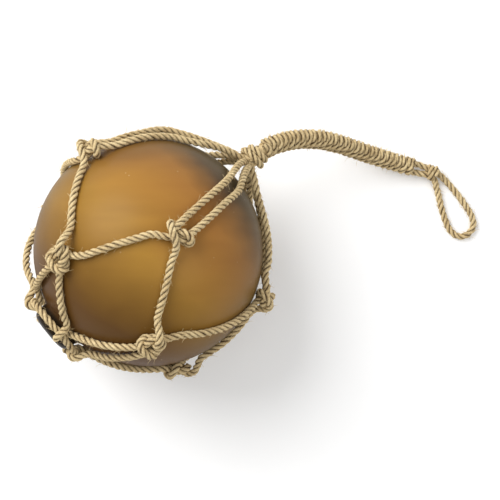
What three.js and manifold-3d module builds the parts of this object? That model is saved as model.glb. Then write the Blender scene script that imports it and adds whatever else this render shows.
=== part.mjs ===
// A glass float ball in a hand-knotted rope net, lying on its side, with its whipped rope handle
// reaching down to the floor and a hanging loop tied on the end. Millimetres, +Z up.
// The origin is the middle of the small flat on the underside of the glass.

import * as THREE from "three";
import { mergeVertices } from "three/addons/utils/BufferGeometryUtils.js";
import Module from "manifold-3d";

const wasm = await Module();
wasm.setup();

// Driving dimensions of the glass
const BALL_WIDTH = 126;
const BALL_LENGTH = 125;
const REST_SPOT_WIDTH = 22;
const SEAL_WIDTH = 27;
const SEAL_RISE = 8.4;

// Driving dimensions of the rope
const ROPE = 3.9;
const CLEARANCE = 0.3;
const LOOP_ROPE = 3.9;
const RING_WIDTH = 36;
const NECK_WIDTH = 10.4;
const NECK_LENGTH = 11;
const NECK_STAND_OFF = 11.3;
const NECK_SHIFT = 3.4;
const NECK_TURNS = 1.5;

// Driving dimensions of the whipped handle
const HANDLE_WIDTH = 12.6;
const HANDLE_TIP_WIDTH = 12;
const END_KNOT_WIDTH = 9.9;
const END_KNOT_REACH = 10.2;
const WHIPPING_TURNS = 27;
const WHIPPING_GROOVE = 0.9;

// How the float lies, in degrees: the way its neck points in plan, and how far the neck droops
const NECK_HEADING = 39.5;
const NECK_DROOP = 6.5;

// Rows of knots. Latitude runs from the seal at -90 to the neck at 90, and azimuth round the
// ball from its top side. A knot may sit turned, in degrees. The legs of a loop spread to their own
// azimuths, and lift off the glass where they span a hollow.
const UPPER_KNOTS = [
  { latitude: 10.5, azimuth: 4.5, legs: [{ azimuth: -1, lift: 0 }, { azimuth: 9, lift: 0 }] },
  { latitude: 28, azimuth: 85, legs: [{ azimuth: 84, lift: 1 }, { azimuth: 97, lift: 0 }] },
  { latitude: 17, azimuth: 144, legs: [{ azimuth: 139, lift: 0 }, { azimuth: 149, lift: 0 }] },
  { latitude: 18, azimuth: 222, legs: [{ azimuth: 216, lift: 0 }, { azimuth: 227, lift: 0 }] },
  { latitude: 7, azimuth: 296, legs: [{ azimuth: 283, lift: 2 }, { azimuth: 297, lift: 0 }] },
];
const LOWER_KNOTS = [
  { latitude: -27.2, azimuth: 42.5, turned: -24, lifts: [0, 0] },
  { latitude: -23, azimuth: 103, turned: 0, lifts: [0, 0] },
  { latitude: -34, azimuth: 175, turned: 0, lifts: [0, 0] },
  { latitude: -17, azimuth: 239, turned: 0, lifts: [0, 3] },
  { latitude: -35.4, azimuth: 332.3, turned: 5, lifts: [0.5, 0] },
];
const RING_HITCHES = [20, 78, 138, 214, 283];

// The stiff handle's route from the neck: along the neck's heading, across it to the right, and
// the share of the drop from the neck to the floor.
const HANDLE_ROUTE = [
  [18.2, 1.9, 0.097],
  [27.7, 6, 0.224],
  [40.2, 15.4, 0.437],
  [49.9, 27.5, 0.646],
  [58.1, 39.9, 0.824],
  [66.3, 51.5, 0.955],
  [73.4, 61.7, 1],
];

// The hanging loop's route on the floor: beside the end knot's middle in X and Y, and the height
const LOOP_ROUTE = [
  [2.9, -5.1, 3.2],
  [3.9, -9.2, 2.3],
  [5.6, -15.6, 2],
  [7, -21.4, 2],
  [8.6, -26.6, 2],
  [10.4, -31.2, 2],
  [13, -34.8, 2],
  [16.6, -36.9, 2],
  [20.6, -36.5, 2],
  [23.9, -33.9, 2],
  [25.3, -29.7, 2],
  [24.1, -24.8, 2],
  [21.4, -20.2, 2],
  [18, -15.2, 2],
  [14, -10.2, 2],
  [8.7, -4.2, 2.6],
  [3.8, 0.1, 4.1],
];

// A knot, drawn flat in rope diameters: across, towards the loop's own legs, and away from the
// glass. The loop turns back at the bottom, and the net's running cord comes up through it, goes
// round behind both legs and tucks down across the front.
const LOOP_IN_KNOT = [
  [-1.05, 3.1, 0],
  [-0.82, 1.9, 0.75],
  [-0.74, 0.6, 1],
  [0, -0.7, 0.9],
  [0.74, 0.6, 1],
  [0.82, 1.9, 0.75],
  [1.05, 3.1, 0],
];
const CORD_IN_KNOT = [
  [-1.9, -2.5, 0],
  [-0.9, -1.5, 0],
  [-0.1, -0.4, 0.05],
  [0.45, 0.8, 1.6],
  [1.5, 1.4, 1.3],
  [0.1, 2, 0],
  [-1.6, 1.5, 0.5],
  [-1.5, 0.6, 1.3],
  [-0.4, -0.2, 1.85],
  [0.9, -0.8, 1.4],
  [2, -2.4, 0],
];

// The lower cord's turn round the ring that closes the net: across, away from the seal, out
const HITCH = [
  [-0.9, 1.7, 0.1],
  [-0.6, 0.8, 0.9],
  [-0.3, 0, 1.9],
  [0, -0.8, 1.1],
  [0.3, -0.2, 0.2],
  [0.6, 0.8, 0],
  [0.9, 1.7, 0],
];
const RING_LIFT = 1;

// How finely the faceted rope is drawn
const ROPE_SIDES = 5;
const BALL_SIDES = 28;
const DEGREE = Math.PI / 180;

// The lying float's own directions: neckward along its axis, skyward across it, and sideways
const heading = NECK_HEADING * DEGREE;
const droop = NECK_DROOP * DEGREE;
const neckward = new THREE.Vector3(
  Math.cos(droop) * Math.cos(heading),
  Math.cos(droop) * Math.sin(heading),
  -Math.sin(droop),
);
const skyward = new THREE.Vector3(
  Math.sin(droop) * Math.cos(heading),
  Math.sin(droop) * Math.sin(heading),
  Math.cos(droop),
);
const sideways = new THREE.Vector3().crossVectors(neckward, skyward);
const plumb = new THREE.Vector3(0, 0, 1);

// The glass is a slightly flattened ball, and its centre stands so that the flat meets the floor
const across = BALL_WIDTH / 2;
const along = BALL_LENGTH / 2;
const deepest = Math.hypot(along * neckward.z, across * skyward.z);
const lowest = new THREE.Vector3()
  .addScaledVector(neckward, (-(along ** 2) * neckward.z) / deepest)
  .addScaledVector(skyward, (-(across ** 2) * skyward.z) / deepest);
const spotDepth = across - Math.sqrt(across ** 2 - (REST_SPOT_WIDTH / 2) ** 2);
const centre = new THREE.Vector3(-lowest.x, -lowest.y, deepest - spotDepth);

// Materials, in the colours of frosted amber glass and dry jute
const glass = new THREE.MeshStandardMaterial({ color: 0xb0843f, roughness: 0.45, metalness: 0 });
const jute = new THREE.MeshStandardMaterial({ color: 0xb89a6a, roughness: 0.95, metalness: 0 });

const float = new THREE.Group();

// A named mesh of one finished geometry
function addPiece(name, geometry, material) {
  const mesh = new THREE.Mesh(geometry, material);
  mesh.name = name;
  float.add(mesh);
}

// A geometry's closed surface as a solid that can be joined and cut
function toSolid(geometry) {
  const bare = geometry.index ? geometry.toNonIndexed() : geometry.clone();
  bare.deleteAttribute("normal");
  bare.deleteAttribute("uv");
  const merged = mergeVertices(bare, 1e-4);
  const solid = new wasm.Manifold(
    new wasm.Mesh({
      numProp: 3,
      vertProperties: merged.getAttribute("position").array,
      triVerts: new Uint32Array(merged.index.array),
    }),
  );
  return solid;
}

function toGeometry(solid) {
  const mesh = solid.getMesh();
  const geometry = new THREE.BufferGeometry();
  geometry.setAttribute("position", new THREE.BufferAttribute(mesh.vertProperties, 3));
  geometry.setIndex(new THREE.BufferAttribute(mesh.triVerts, 1));
  geometry.computeVertexNormals();
  return geometry;
}

function joined(solids) {
  return solids.reduce((whole, next) => whole.add(next));
}

// A smooth route that is stepped from point to point, so that knots are drawn finer than spans
class PointedRoute extends THREE.CatmullRomCurve3 {
  getPointAt(share, target) {
    return this.getPoint(share, target);
  }

  getTangentAt(share, target) {
    return this.getTangent(share, target);
  }
}

// A many-sided tube along a route, with one step from each point to the next
function ropeTube(points, thickness, sides = ROPE_SIDES) {
  const section = Array.from({ length: sides }, (_, corner) => {
    const turn = (2 * Math.PI * corner) / sides;
    return new THREE.Vector2(Math.cos(turn), Math.sin(turn)).multiplyScalar(thickness / 2);
  });
  return new THREE.ExtrudeGeometry(new THREE.Shape(section), {
    steps: points.length - 1,
    bevelEnabled: false,
    extrudePath: new PointedRoute(points),
  });
}

// The place of a rope's centre where it lies on the glass, and the directions there
function seatOnBall(latitude, azimuth, lift = 0) {
  const up = latitude * DEGREE;
  const round = azimuth * DEGREE;
  const direction = (upward, outward) =>
    new THREE.Vector3()
      .addScaledVector(neckward, upward)
      .addScaledVector(skyward, outward * Math.cos(round))
      .addScaledVector(sideways, outward * Math.sin(round));
  const surface = direction(along * Math.sin(up), across * Math.cos(up));
  const outward = direction(Math.sin(up) / along, Math.cos(up) / across).normalize();
  const beside = new THREE.Vector3()
    .addScaledVector(skyward, -Math.sin(round))
    .addScaledVector(sideways, Math.cos(round));
  const point = surface.add(centre).addScaledVector(outward, ROPE / 2 + CLEARANCE + lift);
  return { point, outward, beside, up: new THREE.Vector3().crossVectors(outward, beside) };
}

// A pattern in rope diameters laid on the glass at a seat. A point off to the side follows the
// curve of the glass, so its height is measured from there.
function layPattern(pattern, { latitude, azimuth, turned = 0 }, flip = 1) {
  const millimetresPerDegree = across * DEGREE;
  const swing = turned * DEGREE;
  return pattern.map(([side, ahead, out]) => {
    const right = (side * Math.cos(swing) + ahead * Math.sin(swing)) * ROPE * flip;
    const up = (ahead * Math.cos(swing) - side * Math.sin(swing)) * ROPE * flip;
    const there = latitude + up / millimetresPerDegree;
    const round = azimuth + right / (millimetresPerDegree * Math.cos(there * DEGREE));
    return seatOnBall(there, round, out * ROPE).point;
  });
}

// Evenly spaced places between two seats on the shortest way over the glass
function spanPoints(from, to, steps, lift = 0) {
  const start = new THREE.Vector3().subVectors(from, centre);
  const finish = new THREE.Vector3().subVectors(to, centre);
  const angle = start.angleTo(finish);
  return Array.from({ length: steps - 1 }, (_, index) => {
    const share = (index + 1) / steps;
    const point = new THREE.Vector3()
      .addScaledVector(start, Math.sin((1 - share) * angle) / Math.sin(angle))
      .addScaledVector(finish, Math.sin(share * angle) / Math.sin(angle));
    return point.setLength(point.length() + lift * Math.sin(Math.PI * share)).add(centre);
  });
}

// A knot's two halves, each drawn a little past the middle so that joined tubes run together
function halves(points) {
  const middle = (points.length - 1) / 2;
  const past = 0.1;
  const beyond = points[middle].clone().lerp(points[middle + 1], past);
  const short = points[middle].clone().lerp(points[middle - 1], past);
  return {
    incoming: [...points.slice(0, middle), beyond],
    outgoing: [short, ...points.slice(middle + 1)],
  };
}

// The ball, its flat and the seal that closed the blowing hole are one piece of glass
function makeGlass() {
  const sealStart = Math.acos(SEAL_WIDTH / 2 / across);
  const ballRings = 15;
  const profile = Array.from({ length: ballRings + 1 }, (_, ring) => {
    const angle = Math.PI / 2 - (ring / ballRings) * (Math.PI / 2 + sealStart);
    return new THREE.Vector2(Math.max(0, across * Math.cos(angle)), along * Math.sin(angle));
  });
  profile[0].x = 0;
  const half = SEAL_WIDTH / 2;
  const sealFace = -along - SEAL_RISE;
  profile.push(new THREE.Vector2(half, sealFace + 0.55 * SEAL_RISE));
  profile.push(new THREE.Vector2(half * 0.93, sealFace + 0.3 * SEAL_RISE));
  profile.push(new THREE.Vector2(half * 0.75, sealFace + 0.13 * SEAL_RISE));
  profile.push(new THREE.Vector2(half * 0.4, sealFace + 0.03 * SEAL_RISE));
  profile.push(new THREE.Vector2(0, sealFace));
  const turned = new THREE.LatheGeometry(profile.reverse(), BALL_SIDES);
  turned.applyMatrix4(new THREE.Matrix4().makeBasis(sideways, neckward, skyward));
  turned.translate(centre.x, centre.y, centre.z);
  const below = new THREE.BoxGeometry(BALL_WIDTH, BALL_WIDTH, BALL_WIDTH);
  below.translate(0, 0, -BALL_WIDTH / 2);
  return toGeometry(toSolid(turned).subtract(toSolid(below)));
}

// Places on the axis of the neck, measured from the end of the glass. The net pulls the neck a
// little to the left of the ball's own axis.
function onNeck(stand, radius = 0, azimuth = 0) {
  return new THREE.Vector3()
    .copy(centre)
    .addScaledVector(neckward, along + stand)
    .addScaledVector(skyward, radius * Math.cos(azimuth * DEGREE))
    .addScaledVector(sideways, radius * Math.sin(azimuth * DEGREE) - NECK_SHIFT);
}

// The gathered legs narrow from the neck's width to the handle's core
const handleCore = HANDLE_WIDTH / 2 - ROPE - CLEARANCE;
const neckSlope = (NECK_WIDTH / 2 - handleCore) / NECK_LENGTH;
const bundleRadius = (stand) => NECK_WIDTH / 2 - neckSlope * (stand - NECK_STAND_OFF);
const bundleStart = NECK_STAND_OFF + ROPE / 2;

// The handle's centreline, straight out of the neck and then round and down to the floor
const neckBase = onNeck(NECK_STAND_OFF);
const neckEnd = onNeck(NECK_STAND_OFF + NECK_LENGTH);
const tipHeight = HANDLE_TIP_WIDTH / 2 + 0.05;
const handlePoints = [
  neckBase,
  neckBase.clone().lerp(neckEnd, 0.5),
  neckEnd,
  ...HANDLE_ROUTE.map(([ahead, right, drop]) => {
    const point = new THREE.Vector3(Math.cos(heading), Math.sin(heading), 0).multiplyScalar(ahead);
    point.addScaledVector(sideways, right).add(neckBase);
    point.z = THREE.MathUtils.lerp(neckBase.z, tipHeight, drop);
    return point;
  }),
];
const handleLine = new THREE.CatmullRomCurve3(handlePoints);
const handleLength = handleLine.getLength();

// Directions across the handle's centreline, which never stands upright
function acrossHandle(distance) {
  const share = THREE.MathUtils.clamp(distance / handleLength, 0, 1);
  const point = handleLine.getPointAt(share);
  const ahead = handleLine.getTangentAt(share);
  const right = new THREE.Vector3().crossVectors(ahead, plumb).normalize();
  return { point, ahead, right, over: new THREE.Vector3().crossVectors(right, ahead) };
}

// Upper loops: each runs out of the neck to its upper knot, turns back there and returns. The
// latitudes are where a leg comes down on the glass and where it has found its own azimuth.
const LIFT_OFF_LATITUDE = 58;
const SHOULDER_LATITUDE = 44;

function makeUpperLoops() {
  return UPPER_KNOTS.map((knot) => {
    const inKnot = layPattern(LOOP_IN_KNOT, knot);
    const [left, right] = knot.legs.map((leg, index) => {
      const side = index === 0 ? -1 : 1;
      const round = knot.azimuth + side * 18;
      const inBundle = (stand) => onNeck(stand, bundleRadius(stand) - ROPE / 2, round);
      const shoulder = seatOnBall(SHOULDER_LATITUDE, leg.azimuth, leg.lift).point;
      const knotEnd = index === 0 ? inKnot[0] : inKnot.at(-1);
      return [
        inBundle(bundleStart + 0.6),
        inBundle(NECK_STAND_OFF - 1.3),
        onNeck(0.35 * NECK_STAND_OFF, 1.55 * NECK_WIDTH, leg.azimuth + side * 4),
        seatOnBall(LIFT_OFF_LATITUDE, leg.azimuth + side * 2, leg.lift + CLEARANCE).point,
        shoulder,
        ...spanPoints(shoulder, knotEnd, 2),
      ];
    });
    return toSolid(ropeTube([...left, ...inKnot, ...right.reverse()], ROPE));
  });
}

// The running cord zigzags between the rows and ties every knot
function makeRunningCord() {
  const upper = UPPER_KNOTS.map((knot) => halves(layPattern(CORD_IN_KNOT, knot)));
  const lower = LOWER_KNOTS.map((knot) => halves(layPattern(CORD_IN_KNOT, knot, -1).reverse()));
  const order = upper.flatMap((knot, index) => [knot, lower[index]]);
  return order.map((knot, index) => {
    const next = order[(index + 1) % order.length];
    const span = spanPoints(knot.outgoing.at(-1), next.incoming[0], 4);
    return toSolid(ropeTube([...knot.outgoing, ...span, ...next.incoming], ROPE));
  });
}

// The ring is a rope grommet that rides over the lower loops' turns, round the seal
const RING_STEPS = 20;
const ringLatitude = -Math.acos(RING_WIDTH / 2 / (across + ROPE)) / DEGREE;

function makeRing() {
  const seat = seatOnBall(ringLatitude, 0, RING_LIFT * ROPE).point.sub(centre);
  const ring = new THREE.TorusGeometry(seat.dot(skyward), ROPE / 2, ROPE_SIDES, RING_STEPS);
  ring.applyMatrix4(new THREE.Matrix4().makeBasis(skyward, sideways, neckward));
  const middle = centre.clone().addScaledVector(neckward, seat.dot(neckward));
  return toSolid(ring.translate(middle.x, middle.y, middle.z));
}

// The lower cord turns round the ring between each two lower knots
function makeLowerLoops() {
  const ties = LOWER_KNOTS.map((knot) => {
    const tie = layPattern(LOOP_IN_KNOT, knot, -1).reverse();
    return { ...halves(tie), lifts: knot.lifts };
  });
  return ties.map((tie, index) => {
    const place = (index + 1) % ties.length;
    const hitch = layPattern(HITCH, { latitude: ringLatitude, azimuth: RING_HITCHES[place] });
    const next = ties[place];
    const down = spanPoints(tie.outgoing.at(-1), hitch[0], 4, tie.lifts[1]);
    const up = spanPoints(hitch.at(-1), next.incoming[0], 3, next.lifts[0]);
    const points = [...tie.outgoing, ...down, ...hitch, ...up, ...next.incoming];
    return toSolid(ropeTube(points, ROPE));
  });
}

// Inside the neck the legs are pressed into one bundle
function makeBundle() {
  const end = NECK_STAND_OFF + NECK_LENGTH - 2 * CLEARANCE;
  const pressed = 0.4;
  const profile = [
    new THREE.Vector2(0, bundleStart),
    new THREE.Vector2(bundleRadius(bundleStart) - pressed, bundleStart),
    new THREE.Vector2(bundleRadius(end) - pressed, end),
    new THREE.Vector2(0, end),
  ];
  const bundle = new THREE.LatheGeometry(profile, 10);
  bundle.applyMatrix4(new THREE.Matrix4().makeBasis(sideways, neckward, skyward));
  const base = onNeck(0);
  return toSolid(bundle.translate(base.x, base.y, base.z));
}

function makeNet() {
  const cords = [...makeUpperLoops(), ...makeRunningCord(), ...makeLowerLoops()];
  return toGeometry(joined([...cords, makeRing(), makeBundle()]));
}

// A few wide turns lash the gathered legs below the handle
function makeNeckLashing() {
  const start = bundleStart + 2 * CLEARANCE;
  const end = NECK_STAND_OFF + NECK_LENGTH - ROPE / 2 - 4 * CLEARANCE;
  const pointsPerTurn = 9;
  const count = Math.round(NECK_TURNS * pointsPerTurn);
  const points = Array.from({ length: count + 1 }, (_, index) => {
    const stand = THREE.MathUtils.lerp(start, end, index / count);
    const radius = bundleRadius(stand) + ROPE / 2 + CLEARANCE;
    return onNeck(stand, radius, (360 * index) / pointsPerTurn);
  });
  return toGeometry(toSolid(ropeTube(points, ROPE)));
}

// The whipping: a rib for each turn of cord, bent along the handle's centreline
function makeWhipping() {
  const length = handleLength - NECK_LENGTH;
  const halfTurns = 2 * WHIPPING_TURNS;
  const profile = [new THREE.Vector2(0, 0)];
  for (let index = 0; index <= halfTurns; index += 1) {
    const share = index / halfTurns;
    const crest = THREE.MathUtils.lerp(HANDLE_WIDTH, HANDLE_TIP_WIDTH, share) / 2;
    const radius = index % 2 === 0 ? crest - WHIPPING_GROOVE : crest;
    profile.push(new THREE.Vector2(radius, share * length));
  }
  profile.push(new THREE.Vector2(0, length));
  const whipping = new THREE.LatheGeometry(profile, 7);
  const position = whipping.getAttribute("position");
  for (let index = 0; index < position.count; index += 1) {
    const { point, right, over } = acrossHandle(NECK_LENGTH + position.getY(index));
    point.addScaledVector(right, position.getX(index)).addScaledVector(over, position.getZ(index));
    position.setXYZ(index, point.x, point.y, point.z);
  }
  return toGeometry(toSolid(whipping));
}

// Past the handle's tip the core cords run on into the knot that holds the hanging loop
const tip = acrossHandle(handleLength);
const knotMiddle = tip.point.clone().addScaledVector(tip.ahead, END_KNOT_REACH);
knotMiddle.z = END_KNOT_WIDTH / 2 + 0.05;

function makeEndKnot() {
  const turnRadius = (END_KNOT_WIDTH - LOOP_ROPE) / 2;
  const turn = new THREE.TorusGeometry(turnRadius, LOOP_ROPE / 2, ROPE_SIDES + 1, 10);
  const level = new THREE.Vector3(tip.ahead.x, tip.ahead.y, 0).normalize();
  turn.applyMatrix4(new THREE.Matrix4().makeBasis(tip.right, plumb, level.clone().negate()));
  turn.translate(knotMiddle.x, knotMiddle.y, knotMiddle.z);
  const cords = [-1, 1].map((side) => {
    const start = tip.point.clone().addScaledVector(tip.ahead, CLEARANCE);
    start.addScaledVector(tip.right, side * 0.66 * LOOP_ROPE);
    const end = knotMiddle.clone().addScaledVector(tip.right, side * 0.4 * LOOP_ROPE);
    end.addScaledVector(level, LOOP_ROPE / 2 - 0.3);
    return toSolid(ropeTube([start, end], LOOP_ROPE, ROPE_SIDES + 1));
  });
  return toGeometry(joined([toSolid(turn), ...cords]));
}

function makeHangingLoop() {
  const points = LOOP_ROUTE.map(([x, y, z]) => {
    return new THREE.Vector3(knotMiddle.x + x, knotMiddle.y + y, z);
  });
  return ropeTube(points, LOOP_ROPE, 8);
}

addPiece("glass_ball", makeGlass(), glass);
addPiece("rope_net", makeNet(), jute);
addPiece("neck_lashing", makeNeckLashing(), jute);
addPiece("handle_whipping", makeWhipping(), jute);
addPiece("end_knot", makeEndKnot(), jute);
addPiece("hanging_loop", makeHangingLoop(), jute);

export default float;
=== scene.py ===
# %% [markdown]
# # A glass float ball in its knotted net
#
# The object is a fishing float: a blown ball of frosted amber glass, held in a net of jute cord.
# The cords gather at one pole into a lashed neck, a whipped handle curves away from it, and a
# small loop is tied on the end. It lies on its side and is seen from straight above.
#
# The CAD solids come first. They fix every size and place, and each piece that is made here
# stands where one of them stands.

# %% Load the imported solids
import math

import bmesh
import bpy
import numpy as np
from mathutils import Matrix, Vector, kdtree


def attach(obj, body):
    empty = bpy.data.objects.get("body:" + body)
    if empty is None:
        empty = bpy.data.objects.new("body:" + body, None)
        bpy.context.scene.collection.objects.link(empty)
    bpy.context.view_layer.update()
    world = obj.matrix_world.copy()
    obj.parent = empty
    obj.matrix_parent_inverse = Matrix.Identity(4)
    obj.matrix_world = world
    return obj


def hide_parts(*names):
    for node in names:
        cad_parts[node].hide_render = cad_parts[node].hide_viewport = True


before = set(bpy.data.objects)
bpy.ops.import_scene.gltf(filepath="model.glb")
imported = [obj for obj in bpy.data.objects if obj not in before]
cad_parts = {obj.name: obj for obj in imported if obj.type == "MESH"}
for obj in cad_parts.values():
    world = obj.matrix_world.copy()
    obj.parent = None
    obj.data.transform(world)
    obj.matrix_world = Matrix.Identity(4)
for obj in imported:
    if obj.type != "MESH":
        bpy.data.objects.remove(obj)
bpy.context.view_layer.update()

print("solids:", ", ".join(sorted(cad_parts)))

# %% [markdown]
# ## The camera
#
# The photograph looks straight down on the float. A long lens from a metre above the middle of
# the ball gives the same slight growth of what is nearer to the camera.

# %% Camera
CAMERA_PLACE = (0.055664, 0.000822, 1.062)
HALF_VIEW_AT_ONE_METRE = 0.13697
HALF_SENSOR = 18

camera_data = bpy.data.cameras.new("camera")
camera_data.lens = HALF_SENSOR / HALF_VIEW_AT_ONE_METRE
camera = bpy.data.objects.new("camera", camera_data)
camera.location = CAMERA_PLACE
bpy.context.scene.collection.objects.link(camera)
bpy.context.scene.camera = camera
print("lens:", round(camera_data.lens, 1), "mm")

# %% [markdown]
# ## Shader maths as plain expressions
#
# A procedural finish is arithmetic on patterns. A small class wraps a socket, so that an
# expression such as `1 - mask` adds its Math nodes by itself, and one method makes every other
# node.

# %% A board of nodes and the wires between them
class Wire:
    """A socket's value on a board, to be used in an expression."""

    def __init__(self, board, socket):
        self.board = board
        self.socket = socket

    def with_other(self, operation, first, second):
        return self.board.node("Math", {"operation": operation}, {0: first, 1: second})

    def __add__(self, other):
        return self.with_other("ADD", self, other)

    def __sub__(self, other):
        return self.with_other("SUBTRACT", self, other)

    def __rsub__(self, other):
        return self.with_other("SUBTRACT", other, self)

    def __mul__(self, other):
        return self.with_other("MULTIPLY", self, other)

    def __pow__(self, other):
        return self.with_other("POWER", self, other)

    __radd__ = __add__
    __rmul__ = __mul__


class Board:
    """A material and its nodes. The Mix node's sockets share their names, so they go by number."""

    MIX_SHARE, MIX_FIRST, MIX_SECOND, MIX_COLOUR = 0, 6, 7, 2

    def __init__(self, name):
        self.material = bpy.data.materials.new(name)
        self.material.use_nodes = True
        self.tree = self.material.node_tree
        self.tree.nodes.clear()

    def node(self, kind, settings=None, values=None, output=0):
        made = self.tree.nodes.new("ShaderNode" + kind)
        for setting, value in (settings or {}).items():
            setattr(made, setting, value)
        for place, value in (values or {}).items():
            if isinstance(value, Wire):
                self.tree.links.new(value.socket, made.inputs[place])
            else:
                made.inputs[place].default_value = value
        return Wire(self, made.outputs[output]) if made.outputs else None

    def noise(self, place, scale, detail=3, roughness=0.55):
        values = {"Vector": place, "Scale": scale, "Detail": detail, "Roughness": roughness}
        return self.node("TexNoise", None, values)

    def ramp(self, amount, low, high):
        """0 below low, 1 above high and an even rise between them."""
        values = {"Value": amount, "From Min": low, "From Max": high}
        return self.node("MapRange", {"clamp": True}, values)

    def blend(self, share, first, second):
        """The first colour where share is 0, the second where it is 1."""
        first, second = (c if isinstance(c, Wire) else (*c, 1) for c in (first, second))
        values = {self.MIX_SHARE: share, self.MIX_FIRST: first, self.MIX_SECOND: second}
        return self.node("Mix", {"data_type": "RGBA"}, values, self.MIX_COLOUR)

    def finish(self, values):
        shader = self.node("BsdfPrincipled", None, values)
        self.node("OutputMaterial", None, {"Surface": shader})
        return self.material


print("shader board ready")

# %% [markdown]
# ## Jute cord
#
# The whole net is one kind of cord: three strands of dry jute laid together. Real jute is matt,
# its fibres run along each strand in lighter and darker streaks, and the grooves between the
# strands get a painted shade of dark brown. Fibres are too fine for geometry, so they come from a
# noise that is drawn out along each strand by its own UV map. The painted groove shade reads how
# deep a point lies in the cord, which is stored on the mesh when the cord is laid.

# %% Jute finish
JUTE_LIGHT = (0.83, 0.675, 0.39)
JUTE_MIDDLE = (0.4, 0.265, 0.115)
JUTE_GROOVE_SHADE = (0.05, 0.018, 0.004)
GROOVE_MAP = "groove"
FIBRE_MAP = "fibre"


def jute_finish(name, brightness):
    """Matt jute. The lashing's is a little darker than the net's."""
    board = Board(name)
    place = board.node("TexCoord", output="Object")
    along = board.node("UVMap", {"uv_map": FIBRE_MAP})
    drawn_out = board.node("Mapping", None, {"Vector": along, "Scale": (0.55, 9.0, 1)})
    streaks = board.noise(drawn_out, 7, 4, 0.65)
    patches = board.noise(place, 110, 2)
    flecks = board.noise(place, 900, 2)
    groove = board.node("Attribute", {"attribute_name": GROOVE_MAP}, output="Fac")
    pale = board.ramp(streaks * 0.75 + patches * 0.4 + flecks * 0.4, 0.5, 0.98)
    dark, middle, light = (
        tuple(brightness * c for c in colour) for colour in (JUTE_GROOVE_SHADE, JUTE_MIDDLE, JUTE_LIGHT)
    )
    fibre = board.blend(pale, middle, light)
    # Painted shade: the deeper a point lies between the strands, the more of the dark groove colour
    # it gets.
    out_of_groove = board.ramp(groove + (flecks - 0.5) * 0.5, 0.1, 0.88)
    shaded = board.blend(out_of_groove, dark, fibre)
    bump = board.node("Bump", None, {"Height": streaks, "Strength": 0.45, "Distance": 0.0004})
    return board.finish({
        "Base Color": shaded,
        "Roughness": board.ramp(streaks, 0, 1) * 0.15 + 0.78,
        "Normal": bump,
        "Specular IOR Level": 0.08,
        "Sheen Weight": 0.03,
        "Sheen Roughness": 0.5,
    })


jute = jute_finish("jute", 1.0)
jute_lashing = jute_finish("jute_lashing", 0.96)
print("jute finishes:", jute.name, jute_lashing.name)

# %% [markdown]
# ## A smooth way through a few points
#
# A cord is drawn by a handful of given points. The way between them has to be as smooth as
# a cord bends, so the points are joined by a centripetal Catmull-Rom line, which doesn't
# overshoot where they lie unevenly, and that line is then cut into equal steps.

# %% Routes
POINTS_BETWEEN = 8


def equal_steps(line, step, closed=False):
    """The same line with its points the same distance apart."""
    line = np.array(line, float)
    if closed:
        line = np.vstack([line, line[:1]])
    reach = np.concatenate([[0], np.cumsum(np.linalg.norm(np.diff(line, axis=0), axis=1))])
    count = max(3, round(reach[-1] / step))
    marks = np.linspace(0, reach[-1], count + 1)
    if closed:
        marks = marks[:-1]
    return np.stack([np.interp(marks, reach, line[:, axis]) for axis in range(3)], axis=1)


def smooth_route(points, step, closed=False):
    """A smooth line through the points, in equal steps."""
    points = [np.array(point, float) for point in points]
    if closed:
        row = [points[-1], *points, points[0], points[1]]
    else:
        row = [2 * points[0] - points[1], *points, 2 * points[-1] - points[-2]]
    line = []
    for a, b, c, d in zip(row, row[1:], row[2:], row[3:]):
        gaps = [max(np.linalg.norm(q - p), 1e-7) ** 0.5 for p, q in ((a, b), (b, c), (c, d))]
        t0, t1, t2, t3 = np.concatenate([[0], np.cumsum(gaps)])
        for t in np.linspace(t1, t2, POINTS_BETWEEN, endpoint=False):
            ab = (t1 - t) / (t1 - t0) * a + (t - t0) / (t1 - t0) * b
            bc = (t2 - t) / (t2 - t1) * b + (t - t1) / (t2 - t1) * c
            cd = (t3 - t) / (t3 - t2) * c + (t - t2) / (t3 - t2) * d
            abc = (t2 - t) / (t2 - t0) * ab + (t - t0) / (t2 - t0) * bc
            bcd = (t3 - t) / (t3 - t1) * bc + (t - t1) / (t3 - t1) * cd
            line.append((t2 - t) / (t2 - t1) * abc + (t - t1) / (t2 - t1) * bcd)
    if not closed:
        line.append(points[-1])
    return equal_steps(line, step, closed)


print("a route of 3 points:", len(smooth_route([(0, 0, 0), (0, 1, 0), (1, 1, 0)], 0.1)), "steps")

# %% [markdown]
# ## Laying a cord
#
# A laid cord is three strands that wind round each other. It could be one tube with a twisted
# bump, but its outline would be straight, and the outline is what shows how it is made. So each
# strand is a real tube: a helix round the route, made as a curve with a round bevel, which
# Blender turns into a mesh with a UV map that runs along it. The helix is turned round directions
# that are carried along the route without twisting.

# %% Strands
STEP = 0.001
STRAND_STEP = 0.00115
ROPE = 0.0039
LAY = 0.0113
STRANDS = 3
STRAND_OUT_SHARE = 0.262
STRAND_RADIUS_SHARE = 0.243
STRAND_SIDES = 8
CALM_END_STEPS = 12
# How far each thing strays, and over how many steps.
UNEVEN_LAY = (0.5, 14)
UNEVEN_STRAND = (0.16, 9)
UNEVEN_OUT_SHARE = (0.018, 7)


def carried_directions(line, closed):
    """Two directions across the line at each point, carried along it without twisting."""
    ahead = np.roll(line, -1, axis=0) - np.roll(line, 1, axis=0)
    if not closed:
        ahead[0], ahead[-1] = line[1] - line[0], line[-1] - line[-2]
    ahead /= np.linalg.norm(ahead, axis=1, keepdims=True)
    first = np.cross(ahead[0], (0, 0, 1) if abs(ahead[0][2]) < 0.9 else (1, 0, 0))
    rows = [first / np.linalg.norm(first)]
    for now in ahead[1:]:
        carried = rows[-1] - now * np.dot(rows[-1], now)
        rows.append(carried / np.linalg.norm(carried))
    side = np.array(rows)
    return side, np.cross(ahead, side), ahead


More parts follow.
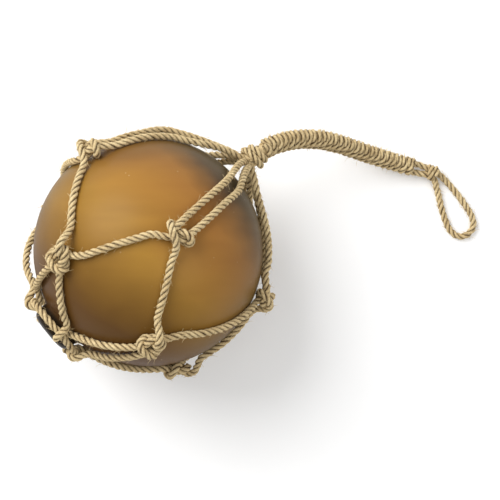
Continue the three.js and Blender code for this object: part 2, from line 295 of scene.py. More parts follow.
def gentle_noise(count, size, period, chance):
    """Random values up to a size either way that change smoothly from point to point."""
    knots = chance.uniform(-1, 1, max(4, count // period + 3))
    return size * np.interp(np.linspace(0, len(knots) - 1, count), np.arange(len(knots)), knots)


def laid_strands(line, thickness, lay, closed=False, turned=0.0):
    """The strands' own lines, round the cord's line. Hand-laid cord is never quite even."""
    chance = np.random.default_rng(len(line))
    side, over, ahead = carried_directions(line, closed)
    gaps = np.linalg.norm(np.diff(line, axis=0), axis=1)
    along = np.concatenate([[0], np.cumsum(gaps)])
    turn = 2 * np.pi * along / lay
    if closed:
        whole = along[-1] + np.linalg.norm(line[0] - line[-1])
        carried = side[-1] - ahead[0] * np.dot(side[-1], ahead[0])
        slip = math.atan2(np.dot(carried, over[0]), np.dot(carried, side[0]))
        turns = 2 * np.pi * round(whole / lay) - slip
        turn = turns * along / whole
    steps = np.arange(len(line))
    calm_ends = np.minimum(1, np.minimum(steps, steps[::-1]) / CALM_END_STEPS)
    turn = turn + calm_ends * gentle_noise(len(line), *UNEVEN_LAY, chance)
    made = []
    for strand in range(STRANDS):
        slip = calm_ends * gentle_noise(len(line), *UNEVEN_STRAND, chance)
        angle = (turned + turn + slip + 2 * np.pi * strand / STRANDS)[:, None]
        out_share = calm_ends * gentle_noise(len(line), *UNEVEN_OUT_SHARE, chance)
        offset = thickness * (STRAND_OUT_SHARE + out_share)
        made.append(line + offset[:, None] * (np.cos(angle) * side + np.sin(angle) * over))
    return made


print("a cord is", STRANDS, "strands and", ROPE * 1000, "mm thick")

# %% Tubes along the strands
def tubes_to_mesh(name, lines, radius, closed=False, sides=STRAND_SIDES, radii=None):
    """Round tubes along the given lines, as one mesh object with its place in its mesh."""
    curve = bpy.data.curves.new(name + "_line", "CURVE")
    curve.dimensions = "3D"
    curve.bevel_depth = radius
    curve.bevel_resolution = sides // 2 - 2
    curve.use_fill_caps = True
    for index, line in enumerate(lines):
        spline = curve.splines.new("POLY")
        spline.points.add(len(line) - 1)
        flat = np.hstack([line, np.ones((len(line), 1))]).ravel()
        spline.points.foreach_set("co", flat)
        if radii is not None:
            spline.points.foreach_set("radius", radii[index])
        spline.use_cyclic_u = closed
    holder = bpy.data.objects.new(name + "_line", curve)
    bpy.context.scene.collection.objects.link(holder)
    bpy.context.view_layer.update()
    evaluated = holder.evaluated_get(bpy.context.evaluated_depsgraph_get())
    mesh = bpy.data.meshes.new_from_object(evaluated)
    bpy.data.objects.remove(holder)
    mesh.uv_layers[0].name = FIBRE_MAP
    mesh.polygons.foreach_set("use_smooth", [True] * len(mesh.polygons))
    return mesh


print("sides of a strand's tube:", STRAND_SIDES)

# %% Grooves and pieces
GROOVE_BOTTOM = 0.55
GROOVE_RISE = 0.45
NEXT_LINE_TURNED = 1.3


# This depth is the mask of the painted shade in the cord's grooves.
def store_groove(mesh, lines, thickness):
    """How far each point of the strands stands out from the cord's line: 0 deep, 1 outermost."""
    points = np.vstack(lines)
    finder = kdtree.KDTree(len(points))
    for index, point in enumerate(points):
        finder.insert(point, index)
    finder.balance()
    depth = [finder.find(vertex.co)[2] for vertex in mesh.vertices]
    share = np.clip((np.array(depth) / (thickness / 2) - GROOVE_BOTTOM) / GROOVE_RISE, 0, 1)
    groove = mesh.attributes.new(GROOVE_MAP, "FLOAT", "POINT")
    groove.data.foreach_set("value", share.astype(np.float32))


def show_piece(mesh, name, material, slot, *nodes):
    """Puts a finished mesh in the scene as a piece of the object."""
    mesh.name = name
    mesh.materials.clear()
    mesh.materials.append(material)
    piece = bpy.data.objects.new(name, mesh)
    bpy.context.scene.collection.objects.link(piece)
    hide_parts(*nodes)
    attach(piece, "root")
    triangles = sum(len(face.vertices) - 2 for face in mesh.polygons)
    print(name, "is made of", triangles, "triangles")
    return piece


def laid_cord(name, lines, material, *nodes, thickness=ROPE, closed=False, sides=STRAND_SIDES):
    """A piece of three-strand cord along each of the given lines."""
    strands = []
    for index, line in enumerate(lines):
        strands += laid_strands(line, thickness, LAY, closed, turned=NEXT_LINE_TURNED * index)
    mesh = tubes_to_mesh(name, strands, thickness * STRAND_RADIUS_SHARE, closed, sides)
    store_groove(mesh, lines, thickness)
    return show_piece(mesh, name, material, "jute", *nodes)


print("one lay of the cord:", LAY * 1000, "mm")

# %% [markdown]
# ## How the float lies
#
# The ball leans a little: its neck points right and away from the viewer, and droops, so that the
# handle reaches down to the floor. These few numbers are the CAD's own, so every cord that is
# laid on the glass here lies where its solid does.

# %% The lying float's own directions
NECK_HEADING = math.radians(39.5)
NECK_DROOP = math.radians(6.5)
ACROSS = 0.063
ALONG = 0.0625
REST_SPOT = 0.022

neckward = np.array((
    math.cos(NECK_DROOP) * math.cos(NECK_HEADING),
    math.cos(NECK_DROOP) * math.sin(NECK_HEADING),
    -math.sin(NECK_DROOP),
))
skyward = np.array((
    math.sin(NECK_DROOP) * math.cos(NECK_HEADING),
    math.sin(NECK_DROOP) * math.sin(NECK_HEADING),
    math.cos(NECK_DROOP),
))
sideways = np.cross(neckward, skyward)
deepest = math.hypot(ALONG * neckward[2], ACROSS * skyward[2])
lowest = -(ALONG**2 * neckward[2] * neckward + ACROSS**2 * skyward[2] * skyward) / deepest
spot_depth = ACROSS - math.sqrt(ACROSS**2 - (REST_SPOT / 2) ** 2)
centre = np.array((-lowest[0], -lowest[1], deepest - spot_depth))
print("middle of the ball:", [round(float(x) * 1000, 2) for x in centre], "mm")

# %% [markdown]
# ## Frosted amber glass
#
# The glass of a blown float is thick and uneven, and years in sand and surf have frosted it:
# light glows in it but nothing shows through. So the finish is a satin amber, golden at the middle
# and russet towards the neck, smoky near the neck and dark brown at the seal, with faint streaks
# from the blowing and tiny pale seeds, which are bubbles trapped in the glass. Painted shade
# darkens the side towards the seal and away from the light, and the ball's lower half and rim.

# %% Colours in the glass
GOLD = (0.34, 0.178, 0.03)
RUSSET = (0.345, 0.155, 0.036)
AMBER = (0.105, 0.05, 0.019)
SMOKE = (0.03, 0.025, 0.015)
# DARK colours the streaks and, with OLIVE, the painted shade.
DARK = (0.085, 0.036, 0.008)
OLIVE = (0.11, 0.072, 0.024)
SEAL_BROWN = (0.018, 0.011, 0.005)
SEED = (0.6, 0.45, 0.25)

print("gold is", round(GOLD[0] / DARK[0]), "times as bright as the dark side")

# %% Where on the ball each tone lies
board = Board("amber_glass")
place = board.node("TexCoord", output="Object")
from_middle = board.node("VectorMath", {"operation": "SUBTRACT"}, {0: place, 1: tuple(centre)})


def towards(direction):
    """How far a point lies from the ball's middle in a direction, in ball radii."""
    values = {0: from_middle, 1: tuple(float(x) / ACROSS for x in direction)}
    return board.node("VectorMath", {"operation": "DOT_PRODUCT"}, values, output="Value")


neck_share = towards(neckward)
# Painted shade goes where a point lies far from this side, towards the seal and away from the
# light.
towards_lit_side = towards(neckward + np.array((0, 0.4, 0)))
far_side = towards((-0.3, 0.95, -0.2))
# Height places the painted shade on the ball's lower half and rim.
height = towards((0, 0, 1))
cloud = board.noise(place, 22, 3)
streak_frame = board.node(
    "Mapping", None,
    {"Vector": from_middle, "Rotation": (0, 0, math.radians(-38)), "Scale": (12, 70, 12)},
)
streaks = board.noise(streak_frame, 1, 2)
uneven = (cloud - 0.5) * 0.4 + (streaks - 0.5) * 0.2
print("nodes for the places:", len(board.tree.nodes))

# %% Glass finish
warm = board.ramp(neck_share + uneven, -0.1, 0.5)
golden = board.ramp(neck_share + uneven, 0.8, 0.56)
body = board.blend(golden, AMBER, board.blend(warm, GOLD, RUSSET))
smoky = board.blend(board.ramp(neck_share + uneven, 0.72, 0.92), body, SMOKE)
# Painted shade on the side away from the light.
side_shade = board.ramp(towards_lit_side + uneven, -0.15, -0.95)
darker = board.blend(side_shade * 0.88, smoky, DARK)
# Painted shade on the lower half and rim, in olive and dark brown.
low = board.ramp(height + uneven, 0.85, 0.1) ** 1.2 * 0.85
far = board.ramp(far_side + uneven, 0.5, 0.95) * board.ramp(neck_share, -0.2, 0.5) * 0.85
underside = board.blend(side_shade, OLIVE, DARK)
lower_down = board.blend(low, board.blend(far, darker, DARK), underside)
streaked = board.blend(board.ramp(streaks, 0.42, 0.66) * 0.16, lower_down, DARK)
toned = board.blend(board.ramp(neck_share, -0.95, -1.0), streaked, SEAL_BROWN)
cells = board.node("TexVoronoi", {"feature": "F1"}, {"Vector": place, "Scale": 150.0})
seeds = board.ramp(cells, 0.075, 0.045) * board.ramp(board.noise(place, 60, 1), 0.52, 0.6)
coloured = board.blend(seeds * 0.55, toned, SEED)
frost = board.noise(place, 1400, 2)
waves = board.noise(place, 35, 2)
bump = board.node("Bump", None, {"Height": waves, "Strength": 0.12, "Distance": 0.002})
amber_glass = board.finish({
    "Base Color": coloured,
    "Roughness": board.ramp(frost + uneven, 0.2, 0.8) * 0.14 + 0.36,
    "Normal": bump,
    "IOR": 1.5,
    "Specular IOR Level": 0.07,
    "Coat Weight": board.ramp(height, 0.1, 0.7) * 0.12,
    "Coat Roughness": 0.35,
})
print("glass finish:", amber_glass.name, "of", len(board.tree.nodes), "nodes")

# %% [markdown]
# ## The glass ball and its seal
#
# A blown float is closed with a gob of hot glass, pressed flat like a button. Ball and seal are
# one outline turned about the float's axis, so they are drawn as a profile and spun. The profile
# runs from pole to seal, the button's rim is rounded, and a small flat is cut where it rests.

# %% Ball
SEAL_WIDTH = 0.027
SEAL_RISE = 0.0084
PROFILE_STEPS = 72
TURNS_ROUND = 128
SEAL_OUTLINE = [(0.99, 0.62), (0.965, 0.4), (0.9, 0.22), (0.78, 0.1), (0.58, 0.03), (0.3, 0.0)]

seal_start = math.acos(SEAL_WIDTH / 2 / ACROSS)
ball = bmesh.new()
outline = []
for index in range(PROFILE_STEPS + 1):
    angle = math.pi / 2 - index / PROFILE_STEPS * (math.pi / 2 + seal_start)
    outline.append((ACROSS * max(0.0, math.cos(angle)), ALONG * math.sin(angle)))
seal_face = -ALONG - SEAL_RISE
for width_share, rise_share in SEAL_OUTLINE:
    outline.append((SEAL_WIDTH / 2 * width_share, seal_face + SEAL_RISE * rise_share))
outline[0] = (0, ALONG)
outline.append((0, seal_face))
corners = [ball.verts.new((x, 0, z)) for x, z in outline]
edges = [ball.edges.new(pair) for pair in zip(corners, corners[1:])]
bmesh.ops.spin(
    ball, geom=[*corners, *edges], cent=(0, 0, 0), axis=(0, 0, 1), angle=2 * math.pi,
    steps=TURNS_ROUND, use_merge=True,
)
bmesh.ops.remove_doubles(ball, verts=ball.verts, dist=1e-6)
columns = (sideways, -skyward, neckward, centre)
turn_to_place = Matrix((*[[float(v[row]) for v in columns] for row in range(3)], (0, 0, 0, 1)))
bmesh.ops.transform(ball, matrix=turn_to_place, verts=ball.verts)
cut = bmesh.ops.bisect_plane(
    ball, geom=[*ball.verts, *ball.edges, *ball.faces], plane_co=(0, 0, 0), plane_no=(0, 0, 1),
    clear_inner=True,
)
rim = [part for part in cut["geom_cut"] if isinstance(part, bmesh.types.BMEdge)]
bmesh.ops.holes_fill(ball, edges=rim, sides=0)
bmesh.ops.recalc_face_normals(ball, faces=ball.faces)
for face in ball.faces:
    face.smooth = len(face.verts) <= 4
ball_mesh = bpy.data.meshes.new("glass_float")
ball.to_mesh(ball_mesh)
ball.free()
show_piece(ball_mesh, "glass_float", amber_glass, "glass", "glass_ball")

# %% [markdown]
# ## Where the cords lie
#
# A place on the ball is given as on a globe: its latitude runs from the seal to the neck, and its
# azimuth goes round from the top side. A knot is drawn flat, in cord diameters, and laid on the
# ball at its place. It is the netmaker's sheet bend: a loop's two legs turn back, and the running
# cord goes through the loop, round both legs and down under itself. The upper knots show the side
# where it crosses the end of the loop, and the lower ones the side where it goes round the legs.

# %% Places of the knots
# Each upper knot has its latitude, its azimuth and its two legs' azimuths and lifts. Each lower
# knot has its latitude, its azimuth, how far it is turned and its two cords' lifts.
UPPER_KNOTS = [
    (10.5, 4.5, (-1, 0), (9, 0)), (28, 85, (84, 0.001), (97, 0)), (17, 144, (139, 0), (149, 0)),
    (18, 222, (216, 0), (227, 0)), (7, 296, (283, 0.002), (297, 0)),
]
LOWER_KNOTS = [
    (-27.2, 42.5, -24, (0, 0)), (-23, 103, 0, (0, 0)), (-34, 175, 0, (0, 0)),
    (-17, 239, 0, (0, 0.003)), (-35.4, 332.3, 5, (0.0005, 0)),
]
RING_HITCHES = [20, 78, 138, 214, 283]
print("knots to tie:", len(UPPER_KNOTS) + len(LOWER_KNOTS))

# %% Patterns of the knots
# A point is given as how far it is to the side, ahead and out, in cord diameters.
LOOP_IN_UPPER_KNOT = [
    (-1.05, 3.1, 0), (-1, 2.3, 0.3), (-0.95, 1.5, 0.7), (-0.85, 0.6, 1), (-0.6, -0.2, 1),
    (0, -0.75, 0.9), (0.6, -0.2, 1), (0.85, 0.6, 1), (0.95, 1.5, 0.7), (1, 2.3, 0.3),
    (1.05, 3.1, 0),
]
CORD_IN_UPPER_KNOT = [
    (-2.1, -2.2, 0), (-1.2, -1.6, 0), (-0.4, -0.9, 0), (0.05, 0.1, 0.6), (0.35, 0.7, 1.7),
    (1.1, 0.8, 2), (1.8, 0.5, 1.2), (1.5, 0.2, 0.1), (0.1, 0.35, 0), (-1.4, 0.5, 0.1),
    (-1.85, 0.2, 1), (-1.2, -0.35, 1.95), (-0.1, -0.75, 2), (1, -1.1, 1.2), (1.6, -1.7, 0.2),
    (2.1, -2.6, 0),
]
LOOP_IN_LOWER_KNOT = [
    (-1, 3.2, 0), (-0.62, 2.2, 0.1), (-0.6, 1.5, 0.3), (-0.95, 0.6, 0.9), (-0.85, -0.4, 1.05),
    (0, -1.15, 0.85), (0.85, -0.4, 1.05), (0.95, 0.6, 0.9), (0.6, 1.5, 0.3), (0.62, 2.2, 0.1),
    (1, 3.2, 0),
]
CORD_IN_LOWER_KNOT = [
    (-2.3, -2.2, 0), (-1.4, -1.1, 0), (-0.6, -0.4, 0), (0.4, 0.05, 0), (1.35, 0.7, 0.1),
    (1.55, 1.25, 0.8), (0.85, 1.65, 1.35), (-0.3, 1.75, 1.4), (-1.3, 1.7, 1.1), (-1.6, 1.3, 0.35),
    (-0.75, 0.95, 0), (-0.1, 0.35, 0.5), (0.1, -0.4, 1.6), (0.45, -1.35, 1.95), (1.1, -2.1, 0.9),
    (1.9, -2.9, 0),
]
HITCH = [
    (-0.9, 1.7, 0.1), (-0.6, 0.8, 0.9), (-0.3, 0, 1.9), (0, -0.8, 1.1), (0.3, -0.2, 0.1),
    (0.6, 0.8, 0), (0.9, 1.7, 0),
]
print("points in an upper knot:", len(LOOP_IN_UPPER_KNOT) + len(CORD_IN_UPPER_KNOT))

# %% Laying a pattern on the ball
CLEARANCE = 0.0002


def seat_on_ball(latitude, azimuth, lift=0.0):
    """Where a cord's middle is when it lies on the glass at that place."""
    up, round_ = math.radians(latitude), math.radians(azimuth)
    outward = math.cos(round_) * skyward + math.sin(round_) * sideways
    surface = ALONG * math.sin(up) * neckward + ACROSS * math.cos(up) * outward
    normal = math.sin(up) / ALONG * neckward + math.cos(up) / ACROSS * outward
    normal /= np.linalg.norm(normal)
    return centre + surface + normal * (ROPE / 2 + CLEARANCE + lift)


def lay_pattern(pattern, latitude, azimuth, turned=0.0, flip=1):
    """A flat pattern bent onto the glass. With flip at -1 it is turned half round."""
    one_degree = math.radians(ACROSS)
    swing = math.radians(turned)
    laid = []
    for side, ahead, out in pattern:
        right = (side * math.cos(swing) + ahead * math.sin(swing)) * ROPE * flip
        up = (ahead * math.cos(swing) - side * math.sin(swing)) * ROPE * flip
        there = latitude + up / one_degree
        round_ = azimuth + right / (one_degree * math.cos(math.radians(there)))
        laid.append(seat_on_ball(there, round_, out * ROPE))
    return laid


def span_points(start, finish, steps, lift=0.0):
    """Places on the shortest way over the glass between two points."""
    a, b = start - centre, finish - centre
    angle = math.acos(np.dot(a, b) / np.linalg.norm(a) / np.linalg.norm(b))
    laid = []
    for index in range(1, steps):
        share = index / steps
        way = math.sin((1 - share) * angle) * a + math.sin(share * angle) * b
        far = np.linalg.norm(a) * (1 - share) + np.linalg.norm(b) * share
        way *= (far + lift * math.sin(math.pi * share)) / np.linalg.norm(way)
        laid.append(centre + way)
    return laid


cord_reach = float(np.linalg.norm(seat_on_ball(0, 0) - centre))
print("a cord on the glass runs", round(cord_reach * 1000, 2), "mm from the ball's middle")

# %% [markdown]
# ## The neck and the handle's own line
#
# Past the ball the ten legs are pressed into one bundle, which becomes the core of the handle.
# The net pulls it a little to the left of the ball's own axis. The handle's line leaves the neck
# straight, then bends round and down to the floor.

# %% Neck and handle lines
NECK_WIDTH = 0.0104
NECK_LENGTH = 0.011
NECK_STAND_OFF = 0.0113
NECK_SHIFT = 0.0034
CORE_GAP = 0.0003
FLOOR_GAP = 0.00005
HANDLE_STEP = 0.0005
NUDGE = 0.001
HANDLE_WIDTH = 0.0126
HANDLE_TIP_WIDTH = 0.012
HANDLE_ROUTE = [
    (0.0182, 0.0019, 0.097), (0.0277, 0.006, 0.224), (0.0402, 0.0154, 0.437),
    (0.0499, 0.0275, 0.646), (0.0581, 0.0399, 0.824), (0.0663, 0.0515, 0.955),
    (0.0734, 0.0617, 1),
]
handle_core = HANDLE_WIDTH / 2 - ROPE - CORE_GAP


def on_neck(stand, radius=0.0, azimuth=0.0):
    """A place at a stand above the ball's pole, round the neck's own middle."""
    round_ = math.radians(azimuth)
    outward = math.cos(round_) * skyward + math.sin(round_) * sideways
    return centre + neckward * (ALONG + stand) + outward * radius - sideways * NECK_SHIFT


def bundle_radius(stand):
    """The legs' bundle narrows evenly from the neck's foot to the handle's core."""
    slope = (NECK_WIDTH / 2 - handle_core) / NECK_LENGTH
    return NECK_WIDTH / 2 - slope * (stand - NECK_STAND_OFF)


neck_base, neck_end = on_neck(NECK_STAND_OFF), on_neck(NECK_STAND_OFF + NECK_LENGTH)
handle_points = [neck_base, (neck_base + neck_end) / 2, neck_end]
for ahead, right, drop in HANDLE_ROUTE:
    flat = np.array((math.cos(NECK_HEADING), math.sin(NECK_HEADING), 0)) * ahead
    point = neck_base + flat + sideways * right
    point[2] = neck_base[2] + (HANDLE_TIP_WIDTH / 2 + FLOOR_GAP - neck_base[2]) * drop
    handle_points.append(point)
handle_line = smooth_route(handle_points, HANDLE_STEP)
handle_gaps = np.linalg.norm(np.diff(handle_line, axis=0), axis=1)
handle_reach = np.concatenate([[0], np.cumsum(handle_gaps)])
handle_length = handle_reach[-1]


def across_handle(distance):
    """The handle's middle at a distance along it, and the directions there."""
    def at(where):
        return np.array([np.interp(where, handle_reach, handle_line[:, k]) for k in range(3)])
    near = min(max(distance, NUDGE), handle_length - NUDGE)
    ahead = at(near + NUDGE) - at(near - NUDGE)
    ahead /= np.linalg.norm(ahead)
    right = np.cross(ahead, (0, 0, 1))
    right /= np.linalg.norm(right)
    return at(distance), ahead, right, np.cross(right, ahead)


print("handle with its neck:", round(handle_length * 1000, 1), "mm")

# %% [markdown]
# ## Settling the cords
#
# Knots that are drawn one by one run through each other here and there. Real cords can't, so the
# drawn lines are settled: again and again, each line is straightened a little, points of two
# cords that come too close are pushed apart, and everything is kept off the glass and above the
# floor. A pull back to the drawn place keeps the net as it is in the photograph.

# %% Settling
ROUNDS = 70
TOUCHING = ROPE * 0.95
SAME_CORD_APART = 1.7
STRAIGHTENING = 0.35
PULL_BACK = 0.06
PUSH_APART = 0.3
LONGEST_MOVE = 0.0006
GLASS_GAP = 0.0001


def settle(cords):
    """cords is a list of (points, closed, fixed), and the settled lines come back in that order."""
    starts = np.cumsum([0] + [len(points) for points, _, _ in cords])
    place = np.vstack([points for points, _, _ in cords]).astype(float)
    drawn = place.copy()
    before = np.arange(len(place)) - 1
    after = np.arange(len(place)) + 1
    free = np.ones(len(place), bool)
    cord_of = np.zeros(len(place), int)
    for number, (points, closed, fixed) in enumerate(cords):
        first, last = starts[number], starts[number + 1] - 1
        cord_of[first : last + 1] = number
        before[first], after[last] = (last, first) if closed else (first, last)
        free[first : last + 1] = ~np.asarray(fixed)
    apart = int(SAME_CORD_APART * ROPE / STEP)
    lengths = np.diff(starts)
    reach = np.array((ACROSS, ACROSS, ALONG)) + ROPE / 2 + GLASS_GAP
    axes = np.stack([skyward, sideways, neckward])
    for _ in range(ROUNDS):
        move = ((place[before] + place[after]) / 2 - place) * STRAIGHTENING
        move += (drawn - place) * PULL_BACK
        finder = kdtree.KDTree(len(place))
        for index, point in enumerate(place):
            finder.insert(point, index)
        finder.balance()
        for index, point in enumerate(place):
            for _, other, distance in finder.find_range(point, TOUCHING):
                if other <= index:
                    continue
                if cord_of[other] == cord_of[index]:
                    gap = other - index
                    if min(gap, lengths[cord_of[index]] - gap) < apart:
                        continue
                push = (place[index] - place[other]) / max(distance, 1e-6)
                push *= (TOUCHING - distance) * PUSH_APART
                move[index] += push
                move[other] -= push
        size = np.linalg.norm(move, axis=1, keepdims=True)
        move *= np.minimum(1, LONGEST_MOVE / np.maximum(size, 1e-9))
        place[free] += move[free]
        local = (place - centre) @ axes.T
        inside = np.linalg.norm(local / reach, axis=1)
        sunk = free & (inside < 1)
        place[sunk] = centre + (place[sunk] - centre) / inside[sunk][:, None]
        place[free, 2] = np.maximum(place[free, 2], ROPE / 2 + CLEARANCE)
    lines = []
    for number, (points, closed, _) in enumerate(cords):
        line = place[starts[number] : starts[number + 1]]
        lines.append(equal_steps(line, STRAND_STEP, closed))
    return lines


print("two cords touch at", round(TOUCHING * 1000, 2), "mm")

# %% [markdown]
# ## The net's cords
#
# There are three kinds: five loops that leave the neck as ten legs, one running cord that zigzags
# round the ball and ties all ten knots, and a lower cord that ties the lower knots to a ring
# round the seal. They are drawn first and settled together, since they hold each other.

# %% Draw the loops and their legs
# A leg comes out of the bundle, spreads from it over the last stretch to the ball, and lies down.
LEG_END, LEG_END_RADIUS = 0.0172, 0.0024
LEGS_PRESSED_AT = [0.0132, 0.0099]
LEG_FLARE = [(0.72, 0.86, 8), (0.35, 1.6, 4)]
LEG_SEATS = [(58, 2, 0.0002), (44, 0, 0)]
LEG_PAIR_SPREAD = 18
LEGS_HELD_FROM = NECK_STAND_OFF - 0.001


def leg(knot_azimuth, side, leg_azimuth, lift):
    """One leg of a loop, from inside the neck's bundle down onto the glass."""
    round_ = knot_azimuth + side * LEG_PAIR_SPREAD
    return [
        on_neck(LEG_END, LEG_END_RADIUS, round_),
        *[on_neck(at, bundle_radius(at) - ROPE / 2, round_) for at in LEGS_PRESSED_AT],
        *[
            on_neck(stand * NECK_STAND_OFF, width * NECK_WIDTH, leg_azimuth + side * aside)
            for stand, width, aside in LEG_FLARE
        ],
        *[
            seat_on_ball(latitude, leg_azimuth + side * aside, lift + raised)
            for latitude, aside, raised in LEG_SEATS
        ],
    ]


drawn_cords = []
for latitude, azimuth, left_leg, right_leg in UPPER_KNOTS:
    in_knot = lay_pattern(LOOP_IN_UPPER_KNOT, latitude, azimuth)
    down, up = leg(azimuth, -1, *left_leg), leg(azimuth, 1, *right_leg)
    line = smooth_route([*down, *in_knot, *reversed(up)], STEP)
    stand = (line - centre) @ neckward - ALONG
    drawn_cords.append((line, False, stand > LEGS_HELD_FROM))
print("loops drawn:", len(drawn_cords))

# %% Draw the running cord, the lower cord and the ring
RING_WIDTH = 0.036
RING_LIFT = 1
RING_POINT_EVERY = 15
RUNNING_STEPS, DOWN_STEPS, UP_STEPS = 5, 4, 3


def draw_closed(points):
    """Adds a cord that runs back into itself."""
    line = smooth_route(points, STEP, closed=True)
    drawn_cords.append((line, True, np.zeros(len(line), bool)))


upper_ties = [lay_pattern(CORD_IN_UPPER_KNOT, *knot[:2]) for knot in UPPER_KNOTS]
lower_ties = [lay_pattern(CORD_IN_LOWER_KNOT, *knot[:3], -1)[::-1] for knot in LOWER_KNOTS]
order = [tie for pair in zip(upper_ties, lower_ties) for tie in pair]
running = []
for index, tie in enumerate(order):
    following = order[(index + 1) % len(order)]
    running += [*tie, *span_points(tie[-1], following[0], RUNNING_STEPS)]
draw_closed(running)

ring_latitude = -math.degrees(math.acos(RING_WIDTH / 2 / (ACROSS + ROPE)))
lower = []
for index, (latitude, azimuth, turned, lifts) in enumerate(LOWER_KNOTS):
    tie = lay_pattern(LOOP_IN_LOWER_KNOT, latitude, azimuth, turned, -1)[::-1]
    place_next = (index + 1) % len(LOWER_KNOTS)
    hitch = lay_pattern(HITCH, ring_latitude, RING_HITCHES[place_next])
    next_knot = LOWER_KNOTS[place_next]
    next_tie = lay_pattern(LOOP_IN_LOWER_KNOT, *next_knot[:3], -1)[::-1]
    lower += [*tie, *span_points(tie[-1], hitch[0], DOWN_STEPS, lifts[1]), *hitch]
    lower += span_points(hitch[-1], next_tie[0], UP_STEPS, next_knot[3][0])
draw_closed(lower)
draw_closed([
    seat_on_ball(ring_latitude, azimuth, RING_LIFT * ROPE)
    for azimuth in range(0, 360, RING_POINT_EVERY)
])
print("cords drawn:", len(drawn_cords))

# %% Settle the net
settled = settle(drawn_cords)
print("cords settled:", len(settled), "with", sum(len(line) for line in settled), "points")

# %% Lay the net's cords
NET_CORD = 0.0041
*loops, running_line, lower_line, ring_line = settled
laid_cord("net_loops", loops, jute, "rope_net", thickness=NET_CORD)
for name, line in (
    ("net_running_cord", running_line), ("net_lower_cord", lower_line), ("net_ring", ring_line),
):
    laid_cord(name, [line], jute, "rope_net", thickness=NET_CORD, closed=True)

# %% [markdown]
# ## Neck, lashing and handle
#
# The bundle in the neck and the handle's core are plain, because the turns of cord hide them. The
# lashing is a few wide turns round the neck, and its end is tucked under the whipping. The handle
# is whipped with half hitches, one beside the other: each turn goes round square to the handle,
# and where it meets its own start it crosses over in a short slant, so that the crossings make a
# ridge along the handle. Every turn leans a little, as it does when the cord is pulled tight
# towards the tip.

# %% Bundle and core
CORE_RADIUS = 0.0028
CORE_SIDES = 14
CORE_GROOVE_WIDTH = 0.006
CORE_STEP = 8
BUNDLE_INSET = 0.001

neck_top = NECK_STAND_OFF + NECK_LENGTH
core_line = np.vstack([
    [on_neck(stand) for stand in np.linspace(NECK_STAND_OFF, neck_top, 8)],
    handle_line[handle_reach > NECK_LENGTH][::CORE_STEP],
])
core_radii = []
for point in core_line:
    stand = float(np.dot(point - centre, neckward)) - ALONG
    in_neck = stand < neck_top
    pressed = bundle_radius(stand) - BUNDLE_INSET if in_neck else 0
    core_radii.append(max(pressed, CORE_RADIUS))
core_shape = [np.array(core_radii) / CORE_RADIUS]
core_mesh = tubes_to_mesh(
    "handle_core", [core_line], CORE_RADIUS, sides=CORE_SIDES, radii=core_shape
)
# The core gets the same painted groove shade, read against this width.
store_groove(core_mesh, [core_line], CORE_GROOVE_WIDTH)
show_piece(core_mesh, "handle_core", jute_lashing, "jute", "neck_lashing", "handle_whipping")

# %% Neck lashing
NECK_TURNS = 2.2
LASHING_START = 0.0131
LASHING_END_GAP = 0.0009
LASHING_AZIMUTH = 200
LASHING_POINTS = 90
TUCK_START = 0.9
TUCK_DEPTH = 0.0034
TUCK_CURVE = 1.5

lashing = []
for share in np.linspace(0, 1, LASHING_POINTS):
    stand = LASHING_START + share * (neck_top - LASHING_START - LASHING_END_GAP)
    radius = bundle_radius(stand) + ROPE / 2
    radius -= TUCK_DEPTH * max(0, (share - TUCK_START) / (1 - TUCK_START)) ** TUCK_CURVE
    lashing.append(on_neck(stand, radius, LASHING_AZIMUTH + 360 * NECK_TURNS * share))
lashing_line = smooth_route(lashing, STRAND_STEP)
laid_cord("neck_lashing_cord", [lashing_line], jute_lashing, "neck_lashing")

# %% Handle whipping
WHIPPING_TURNS = 27
RIDGE_ANGLE = math.radians(-22)
CROSSING_SHARE = 0.13
LEAN = 0.0011
STEPS_IN_TURN = 40
FIRST_TURN_AT = 0.05
LAST_TURN_SHORT_BY = 0.4
WHIPPING_INSET = 0.0004
RIDGE_RISE = 0.0007

pitch = (handle_length - NECK_LENGTH) / WHIPPING_TURNS
whipping = []
for step in range(WHIPPING_TURNS * STEPS_IN_TURN + 1):
    turn = step / STEPS_IN_TURN
    crossing = round(turn)
    from_crossing = turn - crossing
    slant = max(-1, min(1, from_crossing / CROSSING_SHARE))
    along = (crossing + 0.5 * math.sin(math.pi / 2 * slant)) * pitch
    along = min(max(along, FIRST_TURN_AT * pitch), (WHIPPING_TURNS - LAST_TURN_SHORT_BY) * pitch)
    share = turn / WHIPPING_TURNS
    outer = (HANDLE_WIDTH * (1 - share) + HANDLE_TIP_WIDTH * share) / 2 - WHIPPING_INSET
    radius = outer - ROPE / 2 + RIDGE_RISE * math.cos(math.pi / 2 * slant) ** 2
    angle = RIDGE_ANGLE + 2 * math.pi * turn
    along -= LEAN * math.sin(angle) * min(1, turn, WHIPPING_TURNS - turn)
    point, ahead, right, over = across_handle(NECK_LENGTH + along)
    whipping.append(point + radius * (math.cos(angle) * over + math.sin(angle) * right))
whipping_line = equal_steps(whipping, STRAND_STEP)
laid_cord("handle_whipping_cord", [whipping_line], jute_lashing, "handle_whipping")

# %% [markdown]
# ## The end knot
#
# Two core cords come out of the whipping side by side. A round turn ties them together, and
# beyond it they run on into the two legs of the hanging loop.

# %% End knot
KNOT_PAST_TIP = 0.0102
KNOT_HEIGHT = 0.005
END_TURN_RADIUS = 0.003
END_TURNS = 1.7
END_TURN_START = 2.2
END_TURN_TUCK = 0.0012
END_TURN_LENGTH = 0.0052
END_TURN_BACK = 0.0018
MILLIMETRE = 0.001

